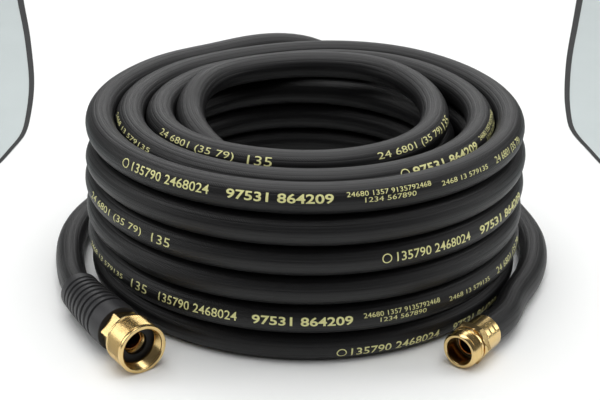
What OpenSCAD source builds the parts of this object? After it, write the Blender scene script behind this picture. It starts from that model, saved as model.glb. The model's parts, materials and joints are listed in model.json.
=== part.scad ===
// Coil of half-inch garden hose with a swivelling brass tap connector, a ribbed bend guard
// and a brass outlet connector with an external thread.
// The hose is wound in three columns of six rows. Its two free ends leave the coil at the
// back, run round either side and end in the fittings at the front.

/* [Hose] */
// Outside diameter of the hose
hose_od = 18.5; // [17.5:0.1:19.5]
// Bore of the hose
hose_bore = 12.5; // [11.5:0.1:13]
// Wall of the smooth inner tube
liner_wall = 1.35; // [1:0.05:1.6]
// Thickness of the textile braid on the inner tube
braid_wall = 0.4; // [0.3:0.05:0.6]

/* [Coil] */
// Radius of the outer loops, to the middle of the hose
coil_r = 135; // [130:1:150]
// Gap between one loop and the next
turn_gap = 0.5; // [0.5:0.05:1.5]
// Slack between the outer column and the middle one
column_slack = 2.8; // [2.8:0.1:5]

/* [Tap nut] */
// Outside diameter of the knurled band
nut_od = 30.5; // [30.2:0.1:33]
// Length of the plain rim at the mouth
nut_rim_length = 2.4; // [1.5:0.1:3]
// Width of the groove behind the rim
nut_groove_width = 0.6; // [0.4:0.1:1]
// Depth of the groove behind the rim
nut_groove_depth = 0.6; // [0.3:0.1:0.9]
// Length of the bevel at the back of the knurled band
nut_bevel_length = 1.1; // [0.8:0.1:1.4]
// Depth of that bevel
nut_bevel_depth = 1; // [0.5:0.1:1.4]
// Minor diameter of the internal thread
tap_thread_d = 24.12; // [23.8:0.01:24.4]
// Depth of the thread, from the mouth to the washer
tap_thread_depth = 9; // [7.5:0.1:10]
// Thickness of the wall at the back of the nut
nut_back_wall = 3.8; // [3:0.1:4.4]

/* [Washer] */
// Thickness of the sealing washer
washer_thickness = 3; // [2:0.1:3.2]
// Outside diameter of the sealing washer
washer_od = 25; // [24.8:0.1:25.2]
// Bore of the sealing washer
washer_bore = 14.5; // [13:0.1:17]

/* [Tap tailpiece] */
// Thickness of the flange that the nut pulls on
flange_thickness = 2.1; // [1.6:0.1:2.4]
// Wall of the shell crimped on the hose
shell_wall = 1.45; // [1.2:0.05:1.6]
// Length of the solid neck, from the flange's face to the hose's end
neck_length = 4.9; // [4.2:0.1:6]
// Gap between the nut and the hexagon
hex_gap = 1.1; // [0.6:0.1:2]
// Length of the hexagon behind the nut
tap_hex_length = 8.5; // [6:0.1:10]
// Width across the flats of that hexagon
tap_hex_af = 23.2; // [22.8:0.1:24]
// How far the hexagon's flats are turned round the fitting, in degrees
tap_hex_turn = 13; // [0:1:30]
// Length of hose held in the crimped shell
tap_grip_length = 24; // [22:0.5:36]
// Wall of the expanded inner tubes
insert_wall = 0.85; // [0.6:0.05:1]
// Depth of the countersink at the mouth of the neck
countersink = 1.5; // [1:0.1:2]

/* [Bend guard] */
// Diameter of the guard at the hexagon
guard_od = 28.8; // [28:0.1:30]
// Diameter of the guard where its bend starts
guard_shoulder_od = 28.6; // [27.5:0.1:29]
// Diameter of the guard at its free end
guard_end_od = 25.4; // [23.6:0.1:26]
// Gap between the hexagon and the guard
guard_gap = 0.9; // [0.4:0.1:1.5]
// Length of the bent, grooved part
guard_bend_length = 45.5; // [44:0.5:56]
// Turn of the bent part, sideways
guard_turn = 9; // [6:1:14]
// Turn of the bent part, downwards
guard_droop = 4; // [3:0.5:6]
// Number of grooves
guard_grooves = 8; // [5:1:8]
// Distance from one groove to the next
groove_pitch = 5.3; // [4.6:0.1:5.6]
// Width of a groove
groove_width = 2; // [1.4:0.1:2.4]
// Depth of a groove
groove_depth = 1.1; // [0.6:0.1:1.2]

/* [Outlet coupling] */
// Outside diameter of the external thread
outlet_thread_d = 22.91; // [22.4:0.01:22.95]
// Length of the bevelled rim at the mouth
outlet_rim_length = 1.8; // [1:0.1:2]
// Depth of the bevel on the rim
outlet_rim_bevel = 1.2; // [0.3:0.1:1.4]
// Length of the thread
outlet_thread_length = 6.2; // [6:0.1:10]
// Length of the plain collar behind the thread
collar_length = 2; // [1:0.1:4]
// Width of the relief behind the collar
relief_width = 1; // [0.6:0.1:2]
// Depth of the relief behind the collar
relief_depth = 1.1; // [0.5:0.1:1.3]
// Width across the flats of the hexagon
outlet_hex_af = 23; // [22.6:0.1:24]
// Length of the hexagon
outlet_hex_length = 4.5; // [4:0.1:7]
// Wall of the shell crimped on the hose
outlet_shell_wall = 1.55; // [1:0.05:1.8]
// Length of hose held in the coupling
outlet_grip_length = 18; // [16:0.5:24]
// Distance from the hexagon's front to the hose's end
hose_stop = 1.5; // [0.8:0.1:3]
// Bore at the mouth
outlet_bore = 16.8; // [15:0.1:17]
// Depth of the slots that the crimping tool bites in the shell
bite_depth = 0.55; // [0.3:0.05:0.8]
// Width of such a slot
bite_width = 0.9; // [0.6:0.1:1.2]
// Distance from one slot to the next
bite_step = 4.6; // [4:0.1:5]

/* [Hidden] */
$fn = 64;

// Colours
hose_black = [0.12, 0.12, 0.125];
guard_black = [0.17, 0.17, 0.17];
liner_black = [0.05, 0.05, 0.05];
braid_grey = [0.55, 0.55, 0.52];
washer_black = [0.07, 0.07, 0.07];
brass = [0.83, 0.68, 0.36];

// Fits
swivel_gap = 0.1;         // along the axis, between the nut's parts and the tailpiece
swivel_clearance = 0.08;  // round the neck, in the nut's back wall
flange_clearance = 0.36;  // round the flange, in the thread's bore
washer_clearance = 0.1;   // round the washer, in its seat
guard_clearance = 0.25;   // round the hose, in the guard
floor_gap = 0.05;         // under round pieces that lie on the floor
thread_chamfer = 0.45;    // at the mouth of the internal thread
overlap = 0.01;           // that cutting shapes run past what they cut

hose_r = hose_od / 2;
bore_r = hose_bore / 2;
pitch = hose_od + turn_gap;

// ------------------------------------------------------------------ the winding
rows = 6;
ring_step = 15;           // degrees from one ring of points to the next
first_bearing = 120;      // where the outlet lead joins the winding, in the top row
last_bearing = 6585;      // where the tap lead leaves the bottom outer loop
base_cut = hose_od / 10;  // taken off the bottom loops, which the coil stands on
edge_tuck = 2;            // that the top and bottom outer loops lie inside the others

slant_gap = 0.3;          // more room between inner columns, where a loop crosses over
middle_r = coil_r - hose_od - column_slack;
inner_r = middle_r - pitch - slant_gap;
core_r = inner_r - pitch - slant_gap;

function row_z(row) = row == 0 ? hose_r - base_cut : hose_r + row * pitch;

// A move is [bearing of its middle, half its length in degrees, value that it ends at].
function ease(t) = let (u = max(0, min(1, t))) u * u * (3 - 2 * u);
function progress(t, move) = ease((t - move[0] + move[1]) / (2 * move[1]));
function sum(list) = list * [for (x = list) 1];
function follow(start, moves, t) =
    start + sum([for (k = [0 : len(moves) - 1])
        (moves[k][2] - (k == 0 ? start : moves[k - 1][2])) * progress(t, moves[k])]);

// The top row is a spiral of three loops, from the outer column to the inner one. The last
// of them lies loose on the others and dives inside. From there the hose goes down the inner
// column, up the middle one and down the outer one, and leaves on the floor.
climb_half = 24;          // half the length of a step between rows of the outer column, in degrees
inner_climb_half = 34;    // the same in the inner columns, which are tighter
column_step_half = 35;    // half the length of a step between columns of the top row
step_in = 447;            // from the outer column to the middle one, in the top row
top_lap = 356;            // from there to the step into the inner column
inner_down = 1755;        // the inner column's first step down
middle_up = 3453;         // the middle column's first step up
inner_lap = 354;          // from one of their steps to the next
outer_down = 5192;        // the outer column's first step down
outer_lap = 358;          // from one of its steps to the next
bottom_out = 3135;        // from the inner column to the middle one, in the bottom row
bottom_half = 45;         // half the length of that step
step_out = 4850;          // from the middle column to the outer one, under the top row
step_out_half = 30;       // half the length of that step
top_row = rows - 1;
top_z = row_z(top_row);

radius_moves = [
    [step_in, column_step_half, middle_r], [step_in + top_lap, column_step_half, inner_r],
    [945, 45, inner_r - 2], [1035, 45, inner_r - 10], [1110, 35, inner_r - 6],
    [1160, 40, core_r + 1], [1240, 40, core_r - 0.3], [1427, 40, inner_r],
    [bottom_out, bottom_half, middle_r], [step_out, step_out_half, coil_r],
    [outer_down + (top_row - 2) * outer_lap, climb_half, coil_r - edge_tuck]];

height_moves = concat(
    [[945, 45, top_z + 2.7], [1035, 45, top_z + 1.2], [1105, 40, top_z + 6], [1190, 40, top_z + 7.5],
     [1255, 30, top_z - 2], [1310, 40, row_z(top_row - 1)]],
    [for (k = [2 : top_row]) [inner_down + (k - 2) * inner_lap, inner_climb_half, row_z(top_row - k)]],
    [for (k = [1 : top_row - 1]) [middle_up + (k - 1) * inner_lap, inner_climb_half, row_z(k)]],
    [for (k = [2 : top_row]) [outer_down + (k - 2) * outer_lap, climb_half, row_z(top_row - k)]],
    [[last_bearing - 45, 30, hose_r + floor_gap]]);

function winding_point(t) =
    let (r = follow(coil_r - edge_tuck, radius_moves, t), z = follow(top_z, height_moves, t))
    [r * cos(t), r * sin(t), z];

winding = [for (t = [first_bearing : ring_step : last_bearing]) winding_point(t)];

// The least gap between loops, measured from every point to the loops before and after it
function to_stretch(p, a, b) =
    let (u = max(0, min(1, (p - a) * (b - a) / ((b - a) * (b - a))))) norm(p - a - u * (b - a));
per_loop = 360 / ring_step;
loops = (last_bearing - first_bearing) / 360;
function gap_at(path, i) = min([
    for (k = [-ceil(loops) : ceil(loops)], j = [-3 : 2])
        let (a = i + k * per_loop + j)
        if (k != 0 && a >= 0 && a + 1 < len(path)) to_stretch(path[i], path[a], path[a + 1])]);
least_gap = min([for (i = [0 : len(winding) - 1]) gap_at(winding, i)]) - hose_od;
echo(loops = loops, least_gap = least_gap);

// ------------------------------------------------------------------ the fittings' places
// A fitting's mouth is [bearing, distance beyond the outer loops], and it faces a heading.
tap_place = [-120.94, 43.4];
tap_heading = -54.1;
tap_z = nut_od / 2 + floor_gap;
outlet_place = [-57.33, 35.5];
outlet_heading = -127.4;
outlet_z = outlet_hex_af / 2 + floor_gap;

function polar(bearing, out, z) =
    [(coil_r + out) * cos(bearing), (coil_r + out) * sin(bearing), z];
tap_mouth = polar(tap_place[0], tap_place[1], tap_z);
outlet_mouth = polar(outlet_place[0], outlet_place[1], outlet_z);

// In a fitting's own frame +Z runs back from its mouth, +X is up.
module at_fitting(mouth, heading)
    translate(mouth) rotate([0, 0, heading]) rotate([0, -90, 0]) children();
function from_fitting(mouth, heading, p) =
    mouth + [-p.z * cos(heading) - p.y * sin(heading), -p.z * sin(heading) + p.y * cos(heading), p.x];

// Stations along the tap fitting, back from its mouth
washer_at = tap_thread_depth;
flange_at = washer_at + washer_thickness + swivel_gap;
back_wall_at = flange_at + flange_thickness + swivel_gap;
nut_length = back_wall_at + nut_back_wall;
tap_hose_at = flange_at + neck_length;
tap_shell_end = tap_hose_at + tap_grip_length;
shell_r = hose_r + shell_wall;
seat_r = washer_od / 2 + washer_clearance;
flange_r = tap_thread_d / 2 - flange_clearance;

tap_hex_at = nut_length + hex_gap;
tap_hex_end = tap_hex_at + tap_hex_length;

// The bent part of the guard follows one arc, down and to the side.
guard_at = tap_hex_end + guard_gap;
guard_bore_r = hose_r + guard_clearance;
bend = norm([guard_droop, guard_turn]);
bend_side = atan2(guard_turn, -guard_droop);
bend_r = guard_bend_length / bend * 180 / PI;
function on_bend(share) =
    let (a = bend * share, off = bend_r * (1 - cos(a)))
    [off * cos(bend_side), off * sin(bend_side), tap_shell_end + bend_r * sin(a)];

// Stations along the outlet fitting
outlet_thread_end = outlet_rim_length + outlet_thread_length + collar_length;
outlet_hex_at = outlet_thread_end + relief_width;
outlet_hose_at = outlet_hex_at + hose_stop;
outlet_end = outlet_hose_at + outlet_grip_length;
outlet_shell_r = hose_r + outlet_shell_wall;
insert_lead = 2.5;        // that the outlet's inner tube stands out of the hose's end

// ------------------------------------------------------------------ the two leads
// Points by hand: [bearing, distance beyond the outer loops, share of the climb to the top row]
tap_route = [[120, 3.5, 0], [135, 13, 0], [150, 21, 0], [165, 23.5, 0], [180, 23, 0], [195, 22.5, 0]];
outlet_route = [[-31, 18.5, 0.01], [-19, 18, 0], [-7, 20.2, 0], [4, 22.2, 0], [16, 23.2, 0.003],
                [28, 22.8, 0.053], [40, 22, 0.17], [52, 21.2, 0.33], [64, 20.4, 0.52], [76, 19.6, 0.72],
                [87, 17.6, 0.91], [97, 12.3, 0.98], [108, 4.5, 1]];

lead_z = hose_r + floor_gap;
function route_points(route) = [for (p = route) polar(p[0], p[1], lead_z + p[2] * (top_z - lead_z))];
function unit(v) = v / norm(v);
winding_end = winding[len(winding) - 1];
off_end = winding_end + unit(winding_end - winding[len(winding) - 2]) * hose_od;
off_start = winding[0] + unit(winding[0] - winding[1]) * hose_od;

straight_in = 4;          // of the tap lead, before the shell, so that its end lies flat on the layers'
tap_path = concat(
    [winding_end, off_end], route_points(tap_route),
    [for (share = [1, 2 / 3, 1 / 3]) from_fitting(tap_mouth, tap_heading, on_bend(share))],
    [for (s = [straight_in, 0]) from_fitting(tap_mouth, tap_heading, [0, 0, tap_shell_end + s])]);
outlet_path = concat(
    [for (s = [outlet_end, outlet_end + hose_od]) from_fitting(outlet_mouth, outlet_heading, [0, 0, s])],
    route_points(outlet_route), [off_start, winding[0]]);

// ------------------------------------------------------------------ tubes along points
function along(path, i) = unit(
    (i == 0 ? [0, 0, 0] : unit(path[i] - path[i - 1])) +
    (i == len(path) - 1 ? [0, 0, 0] : unit(path[i + 1] - path[i])));
function ring(path, i, r, sides, roll) =
    let (t = along(path, i), side = unit(cross(t, [0, 0, 1])), up = cross(side, t))
    [for (j = [0 : sides - 1]) let (a = 90 + roll + 360 * j / sides)
        path[i] + r * (cos(a) * side + sin(a) * up)];
function onto_floor(points) = [for (p = points) [p.x, p.y, max(0, p.z)]];
function tube_points(path, r, sides, rolls) =
    onto_floor([for (i = [0 : len(path) - 1]) each ring(path, i, r, sides, rolls[i])]);

module tube(points, sides) {
    rings = len(points) / sides;
    last = (rings - 1) * sides;
    polyhedron(points, concat(
        [for (i = [0 : rings - 2], j = [0 : sides - 1])
            let (a = i * sides + j, b = i * sides + (j + 1) % sides)
            each [[a, b, a + sides], [b, b + sides, a + sides]]],
        [for (j = [1 : sides - 2]) [0, j + 1, j]],
        [for (j = [1 : sides - 2]) [last, last + j, last + j + 1]]), convexity = 12);
}

// The bottom loops turn a flat side down, which the floor cuts; the others turn a corner up.
winding_sides = 6;
winding_rolls = [for (p = winding) 30 * (1 - max(0, min(1, (p.z - row_z(0)) / pitch)))];
winding_points = tube_points(winding, hose_r, winding_sides, winding_rolls);
lead_sides = 12;
tap_lead_points = tube_points(tap_path, hose_r, lead_sides, [for (p = tap_path) 0]);
outlet_lead_points = tube_points(outlet_path, hose_r, lead_sides, [for (p = outlet_path) 0]);

// ------------------------------------------------------------------ the origin
// It lies on the floor, in the middle of the space that the whole hose takes.
function disc_reach(mouth, heading, r) = [
    for (side = [-1, 1]) [mouth.x + side * r * sin(heading), mouth.y - side * r * cos(heading)]];
outline = concat(
    [for (p = concat(winding_points, tap_lead_points, outlet_lead_points)) [p.x, p.y]],
    disc_reach(tap_mouth, tap_heading, nut_od / 2),
    disc_reach(outlet_mouth, outlet_heading, outlet_thread_d / 2));
low = [min([for (p = outline) p.x]), min([for (p = outline) p.y]), 0];
high = [max([for (p = outline) p.x]), max([for (p = outline) p.y]), 0];
origin = (low + high) / 2;
module placed() translate(-origin) children();

echo(box_low = low - origin, box_high = high - origin, origin = origin);
echo(tap_thread = from_fitting(tap_mouth, tap_heading, [0, 0, tap_thread_depth / 2]) - origin,
    facing = [cos(tap_heading), sin(tap_heading)], length = tap_thread_depth - thread_chamfer);
echo(tap_swivel = from_fitting(tap_mouth, tap_heading, [0, 0, back_wall_at]) - origin);
echo(outlet_thread = from_fitting(outlet_mouth, outlet_heading,
        [0, 0, (outlet_rim_length + outlet_thread_end) / 2]) - origin,
    facing = [cos(outlet_heading), sin(outlet_heading)], length = outlet_thread_end - outlet_rim_length);
echo(rest = polar(-90, -edge_tuck, 0) - origin);
function path_length(path) = sum([for (i = [1 : len(path) - 1]) norm(path[i] - path[i - 1])]);
echo(length = path_length(winding) + path_length(tap_path) + path_length(outlet_path)
    + tap_grip_length + outlet_grip_length);

// ------------------------------------------------------------------ parts
module pipe(outer_r, inner_r, from, to)
    translate([0, 0, from]) difference() {
        cylinder(r = outer_r, h = to - from);
        translate([0, 0, -overlap]) cylinder(r = inner_r, h = to - from + 2 * overlap);
    }

module hexagon(across, from, to, turned = 0)
    translate([0, 0, from]) rotate([0, 0, 30 + turned])
        cylinder(d = across / cos(30), h = to - from, $fn = 6);

module hose_coil() color(hose_black) tube(winding_points, winding_sides);
module tap_lead() color(hose_black) tube(tap_lead_points, lead_sides);
module outlet_lead() color(hose_black) tube(outlet_lead_points, lead_sides);

module tap_nut() color(brass) {
    groove_at = nut_rim_length;
    knurl_at = groove_at + nut_groove_width;
    bevel_at = nut_length - nut_bevel_length;
    nut_r = nut_od / 2;
    at_fitting(tap_mouth, tap_heading) difference() {
        union() {
            cylinder(r = nut_r, h = groove_at);
            cylinder(r = nut_r - nut_groove_depth, h = knurl_at + overlap);
            translate([0, 0, knurl_at]) cylinder(r = nut_r, h = bevel_at - knurl_at);
            translate([0, 0, bevel_at]) cylinder(r1 = nut_r, r2 = nut_r - nut_bevel_depth, h = nut_bevel_length);
        }
        translate([0, 0, -overlap]) cylinder(d = tap_thread_d, h = washer_at + 2 * overlap);
        translate([0, 0, -overlap])
            cylinder(r1 = tap_thread_d / 2 + thread_chamfer + overlap, r2 = tap_thread_d / 2,
                     h = thread_chamfer + overlap);
        translate([0, 0, washer_at]) cylinder(r = seat_r, h = back_wall_at - washer_at);
        cylinder(r = shell_r + swivel_clearance, h = nut_length + overlap);
    }
}

module tap_washer() color(washer_black)
    at_fitting(tap_mouth, tap_heading)
        pipe(washer_od / 2, washer_bore / 2, washer_at, washer_at + washer_thickness);

module tap_tailpiece() color(brass)
    at_fitting(tap_mouth, tap_heading) difference() {
        union() {
            translate([0, 0, flange_at]) cylinder(r = flange_r, h = flange_thickness);
            translate([0, 0, flange_at]) cylinder(r = shell_r, h = tap_shell_end - flange_at);
            hexagon(tap_hex_af, tap_hex_at, tap_hex_end, tap_hex_turn);
        }
        translate([0, 0, flange_at - overlap]) cylinder(r = bore_r, h = neck_length + 2 * overlap);
        translate([0, 0, flange_at - overlap])
            cylinder(r1 = bore_r + countersink + overlap, r2 = bore_r, h = countersink + overlap);
        translate([0, 0, tap_hose_at]) cylinder(r = hose_r, h = tap_grip_length + overlap);
    }

module tap_insert() color(brass)
    at_fitting(tap_mouth, tap_heading)
        pipe(bore_r, bore_r - insert_wall, flange_at + countersink, tap_shell_end);

// One solid piece of the guard's bent part, between two shares of its length
module bent_rod(r, from, to)
    translate([0, 0, tap_shell_end]) rotate([0, 0, bend_side]) translate([bend_r, 0, 0])
        rotate([90, 0, 180]) rotate([0, 0, bend * from])
            rotate_extrude(angle = bend * (to - from)) translate([bend_r, 0]) circle(r = r);

module bend_guard() color(guard_black) {
    period = groove_pitch / guard_bend_length;
    groove = groove_width / guard_bend_length;
    under = groove / 2;       // that a groove's floor runs on under the ribs beside it
    at_fitting(tap_mouth, tap_heading) difference() {
        union() {
            translate([0, 0, guard_at])
                cylinder(d1 = guard_od, d2 = guard_shoulder_od, h = tap_shell_end - guard_at);
            for (k = [0 : guard_grooves - 1]) {
                share = k / (guard_grooves - 1);
                r = guard_shoulder_od / 2 * (1 - share) + guard_end_od / 2 * share;
                bent_rod(r - groove_depth, k * period - under, k * period + groove + under);
                bent_rod(r, k * period + groove, k == guard_grooves - 1 ? 1 : (k + 1) * period);
            }
        }
        translate([0, 0, guard_at - overlap]) cylinder(r = shell_r, h = tap_shell_end - guard_at + overlap);
        bent_rod(guard_bore_r, -under, 1 + under);
    }
}

// The hose's layers, where a shell holds its end
module tap_end_layer(outer_r, inner_r)
    at_fitting(tap_mouth, tap_heading) pipe(outer_r, inner_r, tap_hose_at, tap_shell_end);
module outlet_end_layer(outer_r, inner_r)
    at_fitting(outlet_mouth, outlet_heading) pipe(outer_r, inner_r, outlet_hose_at, outlet_end);
liner_r = bore_r + liner_wall;
braid_r = liner_r + braid_wall;

module tap_end_liner() color(liner_black) tap_end_layer(liner_r, bore_r);
module tap_end_braid() color(braid_grey) tap_end_layer(braid_r, liner_r);
module tap_end_cover() color(hose_black) tap_end_layer(hose_r, braid_r);
module outlet_end_liner() color(liner_black) outlet_end_layer(liner_r, bore_r);
module outlet_end_braid() color(braid_grey) outlet_end_layer(braid_r, liner_r);
module outlet_end_cover() color(hose_black) outlet_end_layer(hose_r, braid_r);

module outlet_coupling() color(brass) {
    thread_r = outlet_thread_d / 2;
    hex_end = outlet_hex_at + outlet_hex_length;
    bites = 3;
    bite_side = 42;           // the middle of a slot, from +X, the top, towards +Y
    bite_half = 16;           // half the length of a slot, in degrees
    at_fitting(outlet_mouth, outlet_heading) difference() {
        union() {
            cylinder(r1 = thread_r - outlet_rim_bevel, r2 = thread_r, h = outlet_rim_length);
            translate([0, 0, outlet_rim_length])
                cylinder(r = thread_r, h = outlet_thread_end - outlet_rim_length);
            cylinder(r = thread_r - relief_depth, h = outlet_hex_at + overlap);
            hexagon(outlet_hex_af, outlet_hex_at, hex_end);
            cylinder(r = outlet_shell_r, h = outlet_end);
        }
        for (k = [0 : bites - 1])
            translate([0, 0, hex_end + bite_width + k * bite_step]) rotate([0, 0, bite_side - bite_half])
                rotate_extrude(angle = 2 * bite_half) translate([outlet_shell_r - bite_depth, 0])
                    square([2 * bite_depth, bite_width]);
        translate([0, 0, -overlap]) cylinder(d = outlet_bore, h = outlet_hose_at + 2 * overlap);
        translate([0, 0, outlet_hose_at]) cylinder(r = hose_r, h = outlet_grip_length + overlap);
    }
}

module outlet_insert() color(brass)
    at_fitting(outlet_mouth, outlet_heading)
        pipe(bore_r, bore_r - insert_wall, outlet_hose_at - insert_lead, outlet_end);

placed() hose_coil();
placed() tap_lead();
placed() outlet_lead();
placed() tap_nut();
placed() tap_washer();
placed() tap_tailpiece();
placed() tap_insert();
placed() bend_guard();
placed() tap_end_liner();
placed() tap_end_braid();
placed() tap_end_cover();
placed() outlet_coupling();
placed() outlet_insert();
placed() outlet_end_liner();
placed() outlet_end_braid();
placed() outlet_end_cover();
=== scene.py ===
# %% [markdown]
# # A coil of garden hose with its two brass fittings
#
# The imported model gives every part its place, and this lesson dresses the parts. Each step
# first says what the piece is on the real hose, then how Blender makes it. All sizes are
# written in millimetres and turned to metres at the last moment.

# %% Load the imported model
import json
import math

import bmesh
import bpy
import numpy as np
from mathutils import Matrix, Vector

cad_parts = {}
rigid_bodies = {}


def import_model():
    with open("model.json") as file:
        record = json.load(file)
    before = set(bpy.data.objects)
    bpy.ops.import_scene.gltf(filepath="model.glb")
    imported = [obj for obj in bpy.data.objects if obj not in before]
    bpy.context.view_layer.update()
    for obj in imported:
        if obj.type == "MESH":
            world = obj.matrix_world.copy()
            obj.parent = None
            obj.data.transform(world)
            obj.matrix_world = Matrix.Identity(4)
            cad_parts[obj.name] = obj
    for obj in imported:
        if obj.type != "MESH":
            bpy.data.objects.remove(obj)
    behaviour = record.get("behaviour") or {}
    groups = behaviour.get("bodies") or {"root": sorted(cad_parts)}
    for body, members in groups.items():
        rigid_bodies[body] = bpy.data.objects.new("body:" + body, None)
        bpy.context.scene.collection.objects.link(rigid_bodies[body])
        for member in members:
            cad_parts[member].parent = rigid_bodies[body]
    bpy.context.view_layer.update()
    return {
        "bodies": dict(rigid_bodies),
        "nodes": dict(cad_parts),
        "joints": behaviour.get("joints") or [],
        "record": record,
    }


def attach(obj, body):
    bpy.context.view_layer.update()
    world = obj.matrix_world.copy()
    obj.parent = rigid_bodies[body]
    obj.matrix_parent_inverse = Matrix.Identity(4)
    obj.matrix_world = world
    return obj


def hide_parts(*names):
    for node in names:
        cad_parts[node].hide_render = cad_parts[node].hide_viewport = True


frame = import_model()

MM = 0.001
AXIS_BEHIND_REST = 133
mounts = {mount["name"]: mount for mount in frame["record"]["mounts"]}
coil_axis = Vector(mounts["rest"]["pos_m"]) + Vector((0, AXIS_BEHIND_REST * MM, 0))

# %% [markdown]
# ## The camera
#
# A long lens, 81.5 mm on a 36 mm sensor, stands 0.83 m in front of the coil and looks about
# 25 degrees down. A tiny roll and shift finish the framing.

# %% Camera
camera = bpy.data.objects.new("camera", bpy.data.cameras.new("camera"))
bpy.context.scene.collection.objects.link(camera)
bpy.context.scene.camera = camera
camera.data.sensor_width = 36
camera.data.lens = 81.5
camera.data.shift_x = -0.0066
camera.matrix_world = (
    Matrix.Translation(coil_axis + Vector((0, -0.8303, 0.42465)))
    @ Matrix.Rotation(math.pi / 2 - 0.432, 4, "X")
    @ Matrix.Rotation(0.015, 4, "Z")
)
print("camera at", tuple(round(x, 3) for x in camera.location))

# %% [markdown]
# ## Small helpers
#
# Colours are written as sRGB hex, the way a paint chart gives them, and one function turns
# them linear. One function adds a node to any tree, with its settings and its links.

# %% Helpers for colours and nodes
def colour(hex_code):
    """An sRGB hex colour as linear RGBA."""
    parts = [int(hex_code[i : i + 2], 16) / 255 for i in (1, 3, 5)]
    return [c / 12.92 if c <= 0.04045 else ((c + 0.055) / 1.055) ** 2.4 for c in parts] + [1.0]


def add(tree, kind, inputs=None, **settings):
    """Adds a node. Inputs maps a socket's name or number to a value, a node or a socket."""
    node = tree.nodes.new(kind)
    for name, value in settings.items():
        setattr(node, name, value)
    for key, value in (inputs or {}).items():
        if isinstance(value, bpy.types.Node):
            value = value.outputs[0]
        if isinstance(value, bpy.types.NodeSocket):
            tree.links.new(value, node.inputs[key])
        else:
            node.inputs[key].default_value = value
    return node


def material(name):
    """A new material: its tree and its shader."""
    made = bpy.data.materials.new(name)
    made.use_nodes = True
    return made, made.node_tree, made.node_tree.nodes["Principled BSDF"]


# %% [markdown]
# ## Geometry Nodes, called from the script
#
# What repeats or follows a path is grown by a small node tree with named sizes. The helper
# below gives a tree its inputs. A second one hangs the tree on a source object, sets the
# inputs by their identifiers, takes the result as a plain mesh and throws the source away.

# %% Helpers for node trees
SOCKETS = {float: "NodeSocketFloat", int: "NodeSocketInt", bpy.types.Material: "NodeSocketMaterial",
           bpy.types.Object: "NodeSocketObject"}


def new_tree(name, **inputs):
    """A geometry tree with named inputs of these types; returns it with its two ends."""
    tree = bpy.data.node_groups.new(name, "GeometryNodeTree")
    tree.interface.new_socket("Geometry", in_out="INPUT", socket_type="NodeSocketGeometry")
    for label, kind in inputs.items():
        tree.interface.new_socket(label, in_out="INPUT", socket_type=SOCKETS[kind])
    tree.interface.new_socket("Geometry", in_out="OUTPUT", socket_type="NodeSocketGeometry")
    return tree, add(tree, "NodeGroupInput"), add(tree, "NodeGroupOutput")


def finish_tree(tree, given, end, result):
    """Every tree's last steps: real geometry instead of instances, and the finish on it."""
    real = add(tree, "GeometryNodeRealizeInstances", {0: result})
    painted = add(tree, "GeometryNodeSetMaterial", {0: real, "Material": given.outputs["Finish"]})
    tree.links.new(painted.outputs[0], end.inputs[0])


def grow(name, tree, source, **sizes):
    """The plain mesh that a tree grows from a source object, which goes."""
    modifier = source.modifiers.new("tree", "NODES")
    modifier.node_group = tree
    for item in tree.interface.items_tree:
        if item.in_out == "INPUT" and item.name in sizes:
            modifier[item.identifier] = sizes[item.name]
    bpy.context.view_layer.update()
    graph = bpy.context.evaluated_depsgraph_get()
    mesh = bpy.data.meshes.new_from_object(source.evaluated_get(graph), depsgraph=graph)
    bpy.data.objects.remove(source)
    mesh.name = name
    return mesh


def path_object(name, points):
    """A curve of straight steps through points in metres."""
    data = bpy.data.curves.new(name, "CURVE")
    data.dimensions = "3D"
    spline = data.splines.new("POLY")
    spline.points.add(len(points) - 1)
    spline.points.foreach_set("co", np.hstack([points, np.ones((len(points), 1))]).ravel())
    return linked(name, data)


def linked(name, data):
    """A mesh, curve or light as an object in the scene."""
    made = bpy.data.objects.new(name, data)
    bpy.context.scene.collection.objects.link(made)
    return made


def dressed(mesh, body, frame, finish):
    """Moves a mesh from its frame (None: it is in place) to the part, faces outward, on a body."""
    if frame:
        mesh.transform(TO_ROW @ frame)
    turned = bmesh.new()
    turned.from_mesh(mesh)
    bmesh.ops.recalc_face_normals(turned, faces=turned.faces)
    turned.to_mesh(mesh)
    turned.free()
    mesh.shade_smooth()
    mesh.set_sharp_from_angle(angle=math.radians(32))
    mesh.materials.clear()
    mesh.materials.append(finish)
    piece = linked(mesh.name, mesh)
    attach(piece, body)
    print(f"{piece.name}: {len(mesh.polygons)} faces on {body}")
    return piece


# %% [markdown]
# ## Where the hose lies
#
# Half-inch hose is wound in three columns of six loops. The winding is a rule: the bearing
# grows, and now and then the radius or the height moves to its next value in an easy S.
# The top row is a spiral whose last loop lies loose and dives inside. Then the hose goes
# down the inner column, up the middle one and down the outer one. The two free ends leave
# the coil at the back and run round it to the fittings in front.

# %% The winding's rule
HOSE_R = 9.25
ROW_PITCH = 19
OUTER, MIDDLE, INNER, CORE = 135, 113.7, 94.4, 75.1
FIRST_BEARING, LAST_BEARING = 120, 6585


def row(number):
    """The height of a row's middle. Row 0 lies on the table."""
    return HOSE_R + ROW_PITCH * number


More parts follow.
